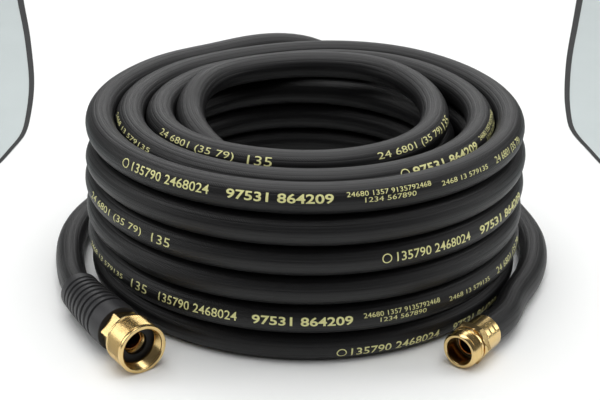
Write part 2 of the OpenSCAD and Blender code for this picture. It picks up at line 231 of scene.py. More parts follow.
TOP = row(5)
RADIUS_MOVES = [
    (447, 35, MIDDLE), (803, 35, INNER),
    (945, 45, INNER - 2), (1035, 45, INNER - 10), (1110, 35, INNER - 6),
    (1160, 40, CORE + 1), (1240, 40, CORE - 0.3), (1427, 40, INNER),
    (3135, 45, MIDDLE), (4850, 30, OUTER), (6266, 24, OUTER - 2),
]
HEIGHT_MOVES = (
    [(945, 45, TOP + 2.7), (1035, 45, TOP + 1.2), (1105, 40, TOP + 6),
     (1190, 40, TOP + 7.5), (1255, 30, TOP - 2), (1310, 40, row(4))]
    + [(1755 + k * 354, 34, row(3 - k)) for k in range(4)]
    + [(3453 + k * 354, 34, row(1 + k)) for k in range(4)]
    + [(5192 + k * 358, 24, row(3 - k)) for k in range(4)]
    + [(6540, 30, HOSE_R + 0.05)]
)


def follow(start, moves, bearing):
    """The value at a bearing, after the moves (middle, half length, new value) before it."""
    value, before = start, start
    for middle, half, after in moves:
        share = min(max((bearing - middle + half) / (2 * half), 0), 1)
        value += (after - before) * share * share * (3 - 2 * share)
        before = after
    return value


def polar(bearing, radius, height):
    """A point from its bearing in degrees, its distance from the coil's axis and its height."""
    turn = math.radians(bearing)
    return [radius * math.cos(turn), radius * math.sin(turn), height]


def winding(bearing):
    """The hose's middle at a bearing of the winding."""
    radius = follow(OUTER - 2, RADIUS_MOVES, bearing)
    return polar(bearing, radius, follow(TOP, HEIGHT_MOVES, bearing))


print("the winding turns", round((LAST_BEARING - FIRST_BEARING) / 360, 2), "times")

# %% [markdown]
# ## The fittings' own frames
#
# A fitting is turned on a lathe, so it is easiest to draw in a frame of its own: Z runs back
# from the mouth, X is up. A matrix carries that frame to the fitting's place on the floor.

# %% Frames of the two fittings
def fitting_frame(bearing, out, height, heading):
    """A fitting's frame: where its mouth is, how far outside the coil, and where it points."""
    turn = math.radians(heading)
    mouth = Vector(polar(bearing, OUTER + out, height))
    columns = ((0, 0, 1), (-math.sin(turn), math.cos(turn), 0), (-math.cos(turn), -math.sin(turn), 0))
    return Matrix.Translation(mouth) @ Matrix(columns).transposed().to_4x4()


TAP = fitting_frame(-120.94, 43.4, 15.3, -54.1)
OUTLET = fitting_frame(-57.33, 35.5, 11.55, -127.4)
TO_ROW = Matrix.Translation(coil_axis) @ Matrix.Scale(MM, 4)

SHELL_END, BEND_LENGTH = 41, 45.5
DROOP, SIDEWAYS = 4, 9
BEND, BEND_SIDE = math.hypot(DROOP, SIDEWAYS), math.atan2(SIDEWAYS, -DROOP)
BEND_R = BEND_LENGTH / math.radians(BEND)


def on_bend(share):
    """A point on the bend guard's arc, in the tap fitting's frame."""
    angle = math.radians(BEND * share)
    off = BEND_R * (1 - math.cos(angle))
    back = SHELL_END + BEND_R * math.sin(angle)
    return TAP @ Vector((off * math.cos(BEND_SIDE), off * math.sin(BEND_SIDE), back))


# %% [markdown]
# ## One smooth line for the whole hose
#
# The points of the route are joined by a cubic spline, which bends as evenly as a stiff
# hose does, and the spline is then cut into even steps.

# %% The hose's centre line
TAP_ROUTE = [(120, 3.5, 0), (135, 13, 0), (150, 21, 0), (165, 23.5, 0), (180, 23, 0), (195, 22.5, 0)]
OUTLET_ROUTE = [
    (-31, 18.5, 0.95), (-19, 18, 0), (-7, 20.2, 0), (4, 22.2, 0), (16, 23.2, 0.3), (28, 22.8, 5),
    (40, 22, 16.1), (52, 21.2, 31.3), (64, 20.4, 49.4), (76, 19.6, 68.4), (87, 17.6, 86.4),
    (97, 12.3, 93), (108, 4.5, 94.95),
]


def route(points):
    """Points of a free end from their bearing, how far outside the coil and how high."""
    return [polar(b, OUTER + out, HOSE_R + 0.05 + up) for b, out, up in points]


def smooth_line(points, step):
    """Even steps along the natural cubic spline through the points."""
    p = np.array(points, float)
    t = np.concatenate([[0], np.cumsum(np.linalg.norm(np.diff(p, axis=0), axis=1))])
    h, n = np.diff(t), len(p)
    a, b = np.eye(n), np.zeros((n, 3))
    for i in range(1, n - 1):
        a[i, i - 1 : i + 2] = h[i - 1], 2 * (h[i - 1] + h[i]), h[i]
        b[i] = 6 * ((p[i + 1] - p[i]) / h[i] - (p[i] - p[i - 1]) / h[i - 1])
    m = np.linalg.solve(a, b)
    fine = np.linspace(0, t[-1], int(t[-1] / 0.5))
    i = np.clip(np.searchsorted(t, fine, "right") - 1, 0, n - 2)
    u, v, w = (t[i + 1] - fine)[:, None], (fine - t[i])[:, None], h[i][:, None]
    curved = (m[i] * u**3 + m[i + 1] * v**3) / (6 * w)
    line = curved + (p[i] / w - m[i] * w / 6) * u + (p[i + 1] / w - m[i + 1] * w / 6) * v
    run = np.concatenate([[0], np.cumsum(np.linalg.norm(np.diff(line, axis=0), axis=1))])
    even = np.linspace(0, run[-1], round(run[-1] / step) + 1)
    return np.stack([np.interp(even, run, line[:, k]) for k in range(3)], axis=1)


corners = [OUTLET @ Vector((0, 0, s)) for s in (28, 38, 49)]
corners += route(OUTLET_ROUTE)
corners += [winding(b) for b in range(FIRST_BEARING, LAST_BEARING + 1, 15)]
corners += route(TAP_ROUTE) + [on_bend(share) for share in (1, 2 / 3, 1 / 3)]
corners += [TAP @ Vector((0, 0, s)) for s in (45, 39)]
hose_line = smooth_line([tuple(p) for p in corners], 6.5)
hose_path = hose_line * MM + np.array(coil_axis)
HOSE_LENGTH = float(np.linalg.norm(np.diff(hose_path, axis=0), axis=1).sum())
print(f"{len(hose_path)} steps, {HOSE_LENGTH:.3f} m of hose")

# %% [markdown]
# ## The rubber of the hose
#
# The cover is extruded over braided yarn, and the braid shows through as a fine herringbone.
# Two stored attributes place the pattern: the distance along the hose and the direction
# around it. A triangle wave tilts the ridges left and right from column to column. The eye
# sees dull black rubber with a soft sheen. The ridges are drawn somewhat coarser than real
# yarn, 1.5 mm apart, because finer ones would not show from this far away.

# %% Material of the cover
cover, tree, shader = material("black rubber cover, braid showing through")
COLUMNS, RIDGE, TILT = 20, 1.5, 2.0
TURN = 2 * math.pi
along = add(tree, "ShaderNodeAttribute", attribute_name="along")
direction = add(tree, "ShaderNodeAttribute", attribute_name="around").outputs["Vector"]
around = add(tree, "ShaderNodeSeparateXYZ", {0: direction})
angle = add(tree, "ShaderNodeMath", {0: around.outputs[1], 1: around.outputs[0]}, operation="ARCTAN2")
column = add(tree, "ShaderNodeMath", {0: angle, 1: COLUMNS / TURN}, operation="MULTIPLY")
zigzag = add(tree, "ShaderNodeMath", {0: column, 1: 1.0}, operation="PINGPONG")
climb = add(tree, "ShaderNodeMath", {0: zigzag, 1: TILT}, operation="MULTIPLY")
distance = along.outputs["Fac"]
ridges = add(tree, "ShaderNodeMath", {0: distance, 1: 1 / (RIDGE * MM), 2: climb}, operation="MULTIPLY_ADD")
phase = add(tree, "ShaderNodeMath", {0: ridges, 1: TURN}, operation="MULTIPLY")
wave = add(tree, "ShaderNodeMath", {0: phase}, operation="SINE")
edge = add(tree, "ShaderNodeMath", {0: zigzag, 1: 0.5}, operation="PINGPONG")
plateau = add(tree, "ShaderNodeMapRange", {"Value": edge, "From Min": 0.0, "From Max": 0.22},
              interpolation_type="SMOOTHSTEP")
swell = add(tree, "ShaderNodeMath", {0: wave, 1: 0.35, 2: 0.65}, operation="MULTIPLY_ADD")
relief = add(tree, "ShaderNodeMath", {0: swell, 1: plateau}, operation="MULTIPLY")
place = add(tree, "ShaderNodeTexCoord").outputs["Object"]
dust = add(tree, "ShaderNodeTexNoise", {"Vector": place, "Scale": 45.0, "Detail": 4.0, "Roughness": 0.6})
shade = add(tree, "ShaderNodeMix", {0: dust.outputs[0], 6: colour("#0b0b0c"), 7: colour("#141416")},
            data_type="RGBA")
# Painted shade: where the braid relief is low, in the grooves and at the column edges, the base colour
# darkens to #070708, so the hollows look shaded.
painted_groove_shade = add(tree, "ShaderNodeMix", {0: relief, 6: colour("#070708"), 7: shade.outputs[2]}, data_type="RGBA")
tree.links.new(painted_groove_shade.outputs[2], shader.inputs["Base Color"])
gloss = add(tree, "ShaderNodeMapRange", {"Value": dust.outputs[0], "To Min": 0.38, "To Max": 0.5})
tree.links.new(gloss.outputs[0], shader.inputs["Roughness"])
bump = add(tree, "ShaderNodeBump", {"Strength": 0.9, "Distance": 0.16 * MM, "Height": relief})
tree.links.new(bump.outputs[0], shader.inputs["Normal"])
shader.inputs["Specular IOR Level"].default_value = 0.4
print(cover.name)

# %% [markdown]
# ## The hose
#
# A real hose is extruded, so here a circle is swept along the line. The tree sets the
# normals upright, which keeps the pattern from twisting, and stores the two attributes
# on the line and on the circle before the sweep joins them.

# %% The hose's skin
tree, given, end = new_tree("hose", Radius=float, Sides=int, Finish=bpy.types.Material)
line = add(tree, "GeometryNodeSetCurveNormal", {"Curve": given}, mode="Z_UP")
length = add(tree, "GeometryNodeSplineParameter").outputs["Length"]
line = add(tree, "GeometryNodeStoreNamedAttribute", {"Geometry": line, "Name": "along", "Value": length},
           data_type="FLOAT")
sizes = {"Resolution": given.outputs["Sides"], "Radius": given.outputs["Radius"]}
ring = add(tree, "GeometryNodeCurvePrimitiveCircle", sizes, mode="RADIUS")
place = add(tree, "GeometryNodeInputPosition")
ring = add(tree, "GeometryNodeStoreNamedAttribute", {"Geometry": ring, "Name": "around", "Value": place},
           data_type="FLOAT_VECTOR")
skin = add(tree, "GeometryNodeCurveToMesh", {"Curve": line, "Profile Curve": ring, "Fill Caps": True})
skin = add(tree, "GeometryNodeSetShadeSmooth", {0: skin})
finish_tree(tree, given, end, skin)
mesh = grow("hose", tree, path_object("hose line", hose_path), Radius=HOSE_R * MM, Sides=28, Finish=cover)
hose = dressed(mesh, "hose", None, cover)
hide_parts("hose_coil", "tap_lead", "outlet_lead")

# %% [markdown]
# ## Machined brass, and brass with painted bore shade
#
# The fittings are turned from brass bar and left unplated. A polished turning still carries
# the tool's fine feed marks, so rings run round every face. They follow an attribute that
# the lathe helper stores: the tool's travel along the profile. Rubber and yarn are dull and
# need no such marks, so a second function gives them two tones in soft clouds.

# %% Material of the turned fittings
def turned_metal(name, light, dark, feed):
    """Bare metal off the lathe, with feed marks this many millimetres apart."""
    made, tree, shader = material(name)
    place = add(tree, "ShaderNodeTexCoord").outputs["Object"]
    cloud = add(tree, "ShaderNodeTexNoise", {"Vector": place, "Scale": 180.0, "Detail": 3.0})
    tone = add(tree, "ShaderNodeMix", {0: cloud.outputs[0], 6: colour(dark), 7: colour(light)},
               data_type="RGBA")
    tree.links.new(tone.outputs[2], shader.inputs["Base Color"])
    shader.inputs["Metallic"].default_value = 1.0
    smear = add(tree, "ShaderNodeMapRange", {"Value": cloud.outputs[0], "To Min": 0.16, "To Max": 0.28})
    tree.links.new(smear.outputs[0], shader.inputs["Roughness"])
    travel = add(tree, "ShaderNodeAttribute", attribute_name="tool_travel").outputs["Fac"]
    passes = add(tree, "ShaderNodeMath", {0: travel, 1: 1 / feed}, operation="MULTIPLY")
    marks = add(tree, "ShaderNodeTexNoise", {"W": passes, "Scale": 1.0, "Detail": 2.0}, noise_dimensions="1D")
    bump = add(tree, "ShaderNodeBump", {"Strength": 0.35, "Distance": 0.02 * MM, "Height": marks.outputs[0]})
    tree.links.new(bump.outputs[0], shader.inputs["Normal"])
    return made


brass = turned_metal("turned brass, bare and bright", "#ecd29a", "#d9b878", 0.22)
# Painted shade: the brass tubes deep in the bores get a darker, redder brass colour. It stands for the shade
# and the brass-tinted light bounced inside a bore.
bore_shaded_brass = turned_metal("drawn copper alloy tube", "#d9a566", "#b97f45", 0.3)


def plain(name, light, dark, rough, scale):
    """A dull finish: two tones in soft clouds and a roughness that follows them."""
    made, tree, shader = material(name)
    place = add(tree, "ShaderNodeTexCoord").outputs["Object"]
    cloud = add(tree, "ShaderNodeTexNoise", {"Vector": place, "Scale": scale, "Detail": 4.0})
    tone = add(tree, "ShaderNodeMix", {0: cloud.outputs[0], 6: colour(dark), 7: colour(light)},
               data_type="RGBA")
    tree.links.new(tone.outputs[2], shader.inputs["Base Color"])
    rise = {"Value": cloud.outputs[0], "To Min": rough, "To Max": rough + 0.1}
    spread = add(tree, "ShaderNodeMapRange", rise)
    tree.links.new(spread.outputs[0], shader.inputs["Roughness"])
    bump = add(tree, "ShaderNodeBump", {"Strength": 0.2, "Distance": 0.03 * MM, "Height": cloud.outputs[0]})
    tree.links.new(bump.outputs[0], shader.inputs["Normal"])
    return made


# The guard comes from a polished mould and keeps a satin sheen; it is the lightest black here.
guard_rubber = plain("moulded rubber, satin", "#2d2d2f", "#232325", 0.42, 900.0)
# Nitrile and the cut cover are matt and the deepest black.
washer_rubber = plain("soft black nitrile rubber", "#141416", "#0d0d0e", 0.5, 700.0)
# The inner tube is smooth, so it shines a little more than the washer.
liner = plain("smooth inner tube rubber", "#161617", "#101011", 0.45, 700.0)
# Undyed yarn reads as a pale, dull ring between two black ones.
yarn = plain("polyester yarn", "#c9c7bf", "#a5a39b", 0.7, 2500.0)
print(len(bpy.data.materials), "materials so far")

# %% [markdown]
# ## A lathe
#
# Everything round on a fitting comes off a lathe, so one helper turns a closed profile
# about the fitting's axis. Each corner says how far it is eased, because no turned edge is
# quite sharp, and an edge that is eased catches the light. A corner marked as milled stays
# inside the hexagon.

# %% The lathe helper
def eased(corners):
    """Points (z, r, milled) of a closed profile from corners (z, r, ease, milled)."""
    corners = [(tuple(c) + (0, 0))[:4] for c in corners]
    points = []
    for k, (z, r, ease, milled) in enumerate(corners):
        here = Vector((z, r))
        if not ease:
            points.append((z, r, milled))
            continue
        ends = []
        for other in (corners[k - 1], corners[(k + 1) % len(corners)]):
            way = Vector(other[:2]) - here
            ends.append(here + way * min(ease / way.length, 0.45))
        for t in (0, 1 / 3, 2 / 3, 1):
            spot = ends[0] * (1 - t) ** 2 + here * 2 * t * (1 - t) + ends[1] * t * t
            points.append((spot.x, spot.y, milled))
    return points


def turned(name, corners, flats=0, flat_turn=0, carve=None, segments=96):
    """The mesh of a ring turned from a closed profile, in millimetres in its fitting's frame."""
    z, r, milled = np.array(eased(corners), float).T
    turn = np.arange(segments) * 2 * math.pi / segments
    from_flat = (turn - math.radians(flat_turn) + math.pi / 6) % (math.pi / 3) - math.pi / 6
    flat = flats / 2 / np.cos(from_flat)
    radius = np.where(milled[:, None] > 0, np.minimum(r[:, None], flat), r[:, None])
    if carve:
        radius = radius - carve(z[:, None], turn[None, :], r[:, None])
    points = np.stack([radius * np.cos(turn), radius * np.sin(turn), z[:, None] + 0 * radius], -1)
    rings = len(z)
    i, j = np.meshgrid(np.arange(rings), np.arange(segments), indexing="ij")
    i2, j2 = (i + 1) % rings, (j + 1) % segments
    faces = np.stack([i * segments + j, i * segments + j2, i2 * segments + j2, i2 * segments + j], -1)
    mesh = bpy.data.meshes.new(name)
    mesh.from_pydata(points.reshape(-1, 3).tolist(), [], faces.reshape(-1, 4).tolist())
    travel = np.concatenate([[0], np.cumsum(np.hypot(np.diff(z), np.diff(r)))])
    stored = mesh.attributes.new("tool_travel", "FLOAT", "POINT")
    stored.data.foreach_set("value", np.repeat(travel, segments))
    return mesh


def lathe(name, body, corners, frame, finish, part, **how):
    """A turned ring in place on its body."""
    return dressed(turned(name, corners, **how), body, frame, finish)


# %% [markdown]
# ## The tap nut
#
# The nut turns freely on the tailpiece and screws on the tap by hand, so its whole outside is
# a grip: a plain rim at the mouth, a groove, and a knurled band that ends in a bevel.

# %% The nut
nut = lathe("nut", "nut", [
    (9, 12.6), (9, 12.75), (0.7, 12.75, 0.15), (0, 13.35, 0.12), (0, 15.25, 0.75), (2.3, 15.25, 0.12),
    (2.4, 14.6, 0.1), (2.95, 14.6, 0.1), (3.0, 14.92, 0.05), (15.6, 14.92, 0.05), (15.7, 15.2, 0.1),
    (17.0, 15.2, 0.15), (18.1, 14.25, 0.2), (18.1, 10.78, 0.2), (14.3, 10.78), (14.3, 12.6)],
    TAP, brass, "brass")
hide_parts("tap_nut")

# %% [markdown]
# A knurling wheel presses its pattern into the turned surface. The tree sets out points in
# staggered rows, and a small pyramid stands on each of them, turned to face outward.

# %% The knurl
tree, given, end = new_tree("knurl", Columns=int, Rows=int, Root=float, Height=float, Start=float,
                            Pitch=float, Finish=bpy.types.Material)
columns, pitch = given.outputs["Columns"], given.outputs["Pitch"]
number = add(tree, "GeometryNodeInputIndex")
line = add(tree, "ShaderNodeMath", {0: number, 1: columns}, operation="DIVIDE")
line = add(tree, "ShaderNodeMath", {0: line}, operation="FLOOR")
shift = add(tree, "ShaderNodeMath", {0: line, 1: 0.5, 2: number}, operation="MULTIPLY_ADD")
apart = add(tree, "ShaderNodeMath", {0: TURN, 1: columns}, operation="DIVIDE")
turn = add(tree, "ShaderNodeMath", {0: shift, 1: apart}, operation="MULTIPLY")
cosine = add(tree, "ShaderNodeMath", {0: turn}, operation="COSINE")
sine = add(tree, "ShaderNodeMath", {0: turn}, operation="SINE")
outward = add(tree, "ShaderNodeCombineXYZ", {0: cosine, 1: sine})
height = add(tree, "ShaderNodeMath", {0: line, 1: pitch, 2: given.outputs["Start"]}, operation="MULTIPLY_ADD")
on_root = add(tree, "ShaderNodeVectorMath", {0: outward, "Scale": given.outputs["Root"]}, operation="SCALE")
lift = add(tree, "ShaderNodeCombineXYZ", {2: height})
spot = add(tree, "ShaderNodeVectorMath", {0: on_root, 1: lift}, operation="ADD")
count = add(tree, "ShaderNodeMath", {0: columns, 1: given.outputs["Rows"]}, operation="MULTIPLY")
dots = add(tree, "GeometryNodePoints", {"Count": count})
dots = add(tree, "GeometryNodeSetPosition", {0: dots, "Position": spot})
shape = {"Vertices": 4, "Radius Top": 0.0, "Radius Bottom": pitch, "Depth": given.outputs["Height"]}
tooth = add(tree, "GeometryNodeMeshCone", shape)
facing = add(tree, "FunctionNodeAxesToRotation", {"Primary Axis": outward, "Secondary Axis": (0, 0, 1)},
             primary_axis="Z", secondary_axis="X")
teeth = add(tree, "GeometryNodeInstanceOnPoints", {"Points": dots, "Instance": tooth, "Rotation": facing})
finish_tree(tree, given, end, teeth)
mesh = grow("knurl", tree, linked("seed", bpy.data.meshes.new("seed")), Columns=84, Rows=22, Root=14.9,
            Height=0.33, Start=3.5, Pitch=0.56, Finish=brass)
dressed(mesh, "nut", TAP, brass)

# %% [markdown]
# ## Screw threads
#
# Both fittings have a pipe thread of 14 turns to the inch. A spiral with a diamond section is
# swept on the bore or on the spigot, half of it sunk in the metal, and it fades out at both
# ends as a chased thread does.

# %% The two threads
THREAD_PITCH = 1.814
tree, given, end = new_tree("screw thread", Pitch=float, Length=float, Radius=float, Height=float,
                            Finish=bpy.types.Material)
radius, length = given.outputs["Radius"], given.outputs["Length"]
rounds = add(tree, "ShaderNodeMath", {0: length, 1: given.outputs["Pitch"]}, operation="DIVIDE")
shape = {"Resolution": 72, "Rotations": rounds, "Height": length}
shape.update({"Start Radius": radius, "End Radius": radius})
helix = add(tree, "GeometryNodeCurveSpiral", shape)
helix = add(tree, "GeometryNodeSetCurveNormal", {0: helix}, mode="Z_UP")
wide = add(tree, "ShaderNodeMath", {0: given.outputs["Pitch"], 1: 0.46}, operation="MULTIPLY")
diamond = add(tree, "GeometryNodeCurvePrimitiveCircle", {"Resolution": 4, "Radius": 1.0}, mode="RADIUS")
size = add(tree, "ShaderNodeCombineXYZ", {0: given.outputs["Height"], 1: wide, 2: 1.0})
section = add(tree, "GeometryNodeTransform", {0: diamond, "Scale": size})
share = add(tree, "GeometryNodeSplineParameter")
share = add(tree, "ShaderNodeMath", {0: share, 1: 0.5}, operation="PINGPONG")
fade = add(tree, "ShaderNodeMapRange", {"Value": share, "From Min": 0.0, "From Max": 0.06, "To Min": 0.05},
           interpolation_type="SMOOTHSTEP")
sweep = {0: helix, "Profile Curve": section, "Scale": fade, "Fill Caps": True}
ridge = add(tree, "GeometryNodeCurveToMesh", sweep)
finish_tree(tree, given, end, ridge)


def thread(name, body, frame, start, **sizes):
    """A thread grown from nothing, moved along the axis to its start."""
    mesh = grow(name, tree, linked("seed", bpy.data.meshes.new("seed")), Finish=brass, **sizes)
    mesh.transform(Matrix.Translation((0, 0, start)))
    return dressed(mesh, body, frame, brass)


thread("nut_thread", "nut", TAP, 1.0, Pitch=THREAD_PITCH, Length=7.6, Radius=12.75, Height=0.65)
outlet_thread = thread("outlet_thread", "hose", OUTLET, 2.2, Pitch=THREAD_PITCH, Length=5.6, Radius=10.56,
                       Height=0.72)

# %% [markdown]
# ## Washer, tailpiece and insert
#
# Inside the nut a flat rubber washer seals against the tap. It lies on the flange of the
# tailpiece, the fixed tube on which the nut turns, and whose hexagon behind the nut takes a
# spanner. A thin tube is expanded in the hose's bore and holds the hose in the crimped shell.

# %% Inside the nut
corners = [(9, 7.25, 0.3), (9, 12.5, 0.3), (12, 12.5, 0.3), (12, 7.25, 0.3)]
washer = lathe("washer", "nut", corners, TAP, washer_rubber, "washer")
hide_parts("tap_washer")
tailpiece = lathe("tailpiece", "hose", [
    (41, 9.3), (17, 9.3), (17, 6.25), (13.6, 6.25, 0.2), (12.1, 7.75, 0.15),
    (12.1, 11.7, 0.2), (14.2, 11.7, 0.2),
    (14.2, 10.7, 0.1), (19.2, 10.7, 0.05), (19.2, 12.4, 0.1, 1), (19.7, 13.38, 0.2, 1), (27.2, 13.38, 0.2, 1),
    (27.7, 12.4, 0.1, 1), (27.7, 10.7, 0.1), (41, 10.7, 0.2)],
    TAP, brass, "brass", flats=23.2, flat_turn=13, segments=144)
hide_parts("tap_tailpiece")


def insert(name, frame, start, end, node):
    """An expanded inner tube with a rolled lip at the mouth."""
    corners = [(end, 5.4), (start + 0.6, 5.4, 0.2), (start - 0.1, 5.75, 0.25), (start + 0.2, 6.24, 0.15),
               (end, 6.24)]
    tube = lathe(name, "hose", corners, frame, bore_shaded_brass, "brass", segments=72)
    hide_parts(node)
    return tube


insert("tap_tube", TAP, 13.6, 41, "tap_insert")

# %% [markdown]
# ## The outlet coupling
#
# The outlet is one turned piece: a spigot with an outside thread, a collar, a narrow
# hexagon and a thin shell. Three short slots in the shell are bite marks of the crimping
# tool, which pressed the shell on the hose.

# %% The outlet coupling
SLOTS = (16.85, 21.45, 26.05)
BITE_DEPTH, BITE_HALF_WIDTH = 0.55, 0.42
BITE_MIDDLE, BITE_HALF_ANGLE, BITE_EASE = math.radians(42), math.radians(17), math.radians(3)
SHELL_SKIN = 10.6


def bites(z, turn, r):
    """How deep the crimping marks go at a place on the shell."""
    along = sum(np.exp(-((z - s) / BITE_HALF_WIDTH) ** 4) for s in SLOTS)
    off = np.abs((turn - BITE_MIDDLE + math.pi) % TURN - math.pi)
    return BITE_DEPTH * along * np.clip((BITE_HALF_ANGLE - off) / BITE_EASE, 0, 1) * (r > SHELL_SKIN)


shell = [(z, 10.8) for z in np.arange(15.9, 29.9, 0.2)]
coupling = lathe("coupling", "hose", [
    (12.5, 9.25), (12.5, 8.4), (0.5, 8.4, 0.2), (0, 8.9, 0.12), (0, 10.2, 0.25), (1.75, 11.35, 0.2),
    (1.95, 10.5, 0.05), (8.0, 10.5, 0.05), (8.2, 11.25, 0.15), (10, 11.3, 0.12),
    (10.1, 10.1, 0.05), (10.95, 10.1, 0.05),
    (11, 11.4, 0.05, 1), (11.6, 13.28, 0.12, 1), (15, 13.28, 0.12, 1),
    (15.5, 12.3, 0.1, 1), (15.5, 10.8, 0.1)]
    + shell + [(30.25, 10.8, 0.2), (30.5, 10.55, 0.1), (30.5, 9.25, 0.05)],
    OUTLET, brass, "brass", flats=23, carve=bites, segments=144)
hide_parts("outlet_coupling")
outlet_insert = insert("outlet_tube", OUTLET, 10.2, 30.5, "outlet_insert")

# %% [markdown]
# ## The cut ends of the hose
#
# Inside the shells the hose shows its layers: a smooth inner tube, the braid of yarn and
# the cover. Each is a short pipe, so the bores stay open.

# %% The cut ends
LAYERS = (("liner", 6.25, 7.6, liner, "liner"), ("braid", 7.6, 8.0, yarn, "braid"),
          ("cover", 8.0, 9.24, washer_rubber, "hose"))
for where, place, start, stop in (("tap", TAP, 17, 41), ("outlet", OUTLET, 12.5, 30.5)):
    for layer, inner, outer, finish, part in LAYERS:
        corners = [(start, inner), (start, outer), (stop, outer), (stop, inner)]
        made = lathe(f"{where}_cut_{layer}", "hose", corners, place, finish, part, segments=64)
        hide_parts(f"{where}_end_{layer}")

# %% [markdown]
# ## The bend guard
#
# A moulded rubber sleeve keeps the hose from kinking at the tap. Eight grooves let it bend
# a little. It is turned straight and then laid on its arc: the tree takes each point's
# distance along the axis, finds that place on the guide line and puts the point back at
# the same offset from it.

# %% The tree that bends things along a line
def on_line(tree, guide, length, right, up):
    """Points set out from a guide curve: how far along, to the right and up, in metres."""
    sample = add(tree, "GeometryNodeSampleCurve", {"Curves": guide, "Length": length}, mode="LENGTH")
    tangent = sample.outputs["Tangent"]
    level = add(tree, "ShaderNodeVectorMath", {0: tangent, 1: (0, 0, 1)}, operation="CROSS_PRODUCT")
    level = add(tree, "ShaderNodeVectorMath", {0: level}, operation="NORMALIZE")
    above = add(tree, "ShaderNodeVectorMath", {0: level, 1: tangent}, operation="CROSS_PRODUCT")
    part = add(tree, "ShaderNodeVectorMath", {0: level, "Scale": right}, operation="SCALE")
    part = add(tree, "ShaderNodeVectorMath", {0: part, 1: sample.outputs["Position"]}, operation="ADD")
    raised = add(tree, "ShaderNodeVectorMath", {0: above, "Scale": up}, operation="SCALE")
    return add(tree, "ShaderNodeVectorMath", {0: part, 1: raised}, operation="ADD")


tree, given, end = new_tree("bend along a line", Guide=bpy.types.Object, Finish=bpy.types.Material)
guide = add(tree, "GeometryNodeObjectInfo", {0: given.outputs["Guide"]}).outputs["Geometry"]
flat = add(tree, "ShaderNodeSeparateXYZ", {0: add(tree, "GeometryNodeInputPosition")})
spot = on_line(tree, guide, flat.outputs[2], flat.outputs[1], flat.outputs[0])
bent = add(tree, "GeometryNodeSetPosition", {0: given, "Position": spot})
finish_tree(tree, given, end, bent)

# %% The guard
GROOVES, PITCH, WIDE, DEEP = 8, 5.3, 2.0, 1.1
GUARD_R, TAPER = 14.28, 1.6
guard_end = SHELL_END + BEND_LENGTH
z = np.arange(SHELL_END - 0.8, guard_end - 0.7, 0.2)
share = np.clip((z - SHELL_END) / (GROOVES * PITCH - 2), 0, 1)
number = np.clip(np.round((z - SHELL_END - WIDE / 2) / PITCH), 0, GROOVES - 1)
off = np.abs(z - SHELL_END - WIDE / 2 - number * PITCH)
notch = np.clip((WIDE / 2 + 0.25 - off) / 0.5, 0, 1)
skin = GUARD_R - TAPER * share - DEEP * notch * notch * (3 - 2 * notch)
corners = [(28.6, 10.75), (28.6, 14.38, 0.6), *zip(z.tolist(), skin.tolist()), (guard_end, 12.68, 0.9),
           (guard_end, 9.35, 0.3), (SHELL_END + 0.3, 9.35), (SHELL_END + 0.3, 10.75)]
straight = turned("straight guard", corners)
straight.transform(Matrix.Scale(MM, 4))
line = [TAP @ Vector((0, 0, s)) for s in range(0, SHELL_END, 2)] + [on_bend(k / 24) for k in range(25)]
guide = path_object("guard line", np.array(line) * MM + np.array(coil_axis))
mesh = grow("guard", tree, linked("straight guard", straight), Guide=guide, Finish=guard_rubber)
guard = dressed(mesh, "hose", None, guard_rubber)
bpy.data.objects.remove(guide)
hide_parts("bend_guard")

# %% [markdown]
# ## Figures printed on the hose
#
# An ink wheel prints a line of figures on the hose before it is wound. Plain numbers and
# plain rings stand here for batch and length marks. All of them are first laid out on one
# flat sheet, with X the distance along the hose and Y the distance round it, and cut in
# small tiles. The tree then wraps the sheet on the hose. The ink is thin and matt, and the
# black under it shows through a little, so its yellow is dull and slightly uneven.

# %% The ink
ink, tree, shader = material("pale yellow printing ink")
place = add(tree, "ShaderNodeTexCoord").outputs["Object"]
speck = add(tree, "ShaderNodeTexNoise", {"Vector": place, "Scale": 900.0, "Detail": 3.0})
thin = add(tree, "ShaderNodeMix", {0: speck.outputs[0], 6: colour("#d3d08a"), 7: colour("#e6e4a8")},
           data_type="RGBA")
tree.links.new(thin.outputs[2], shader.inputs["Base Color"])
shader.inputs["Roughness"].default_value = 0.55
print(ink.name)

# %% The flat sheet
STEP = HOSE_LENGTH / MM / (len(hose_path) - 1)
TILE_ALONG, TILE_ROUND = 2.5, 0.75


def reach(bearing):
    """How far along the hose a bearing of the winding lies, in millimetres."""
    spot = np.array(winding(bearing))
    k = int(np.linalg.norm(hose_line - spot, axis=1).argmin())
    way = (hose_line[k + 1] - hose_line[k - 1]) / 2
    return (k + float((spot - hose_line[k]) @ way) / STEP**2) * STEP


sheet_points, sheet_faces = [], []


def lay_flat(points, faces, start, middle, turn):
    """Adds a flat shape to the sheet, from this place along and at this angle round the hose."""
    base = len(sheet_points)
    lift = math.radians(turn) * HOSE_R + middle
    sheet_points.extend([(start + x, lift + y, 0) for x, y in points])
    sheet_faces.extend([[base + v for v in face] for face in faces])


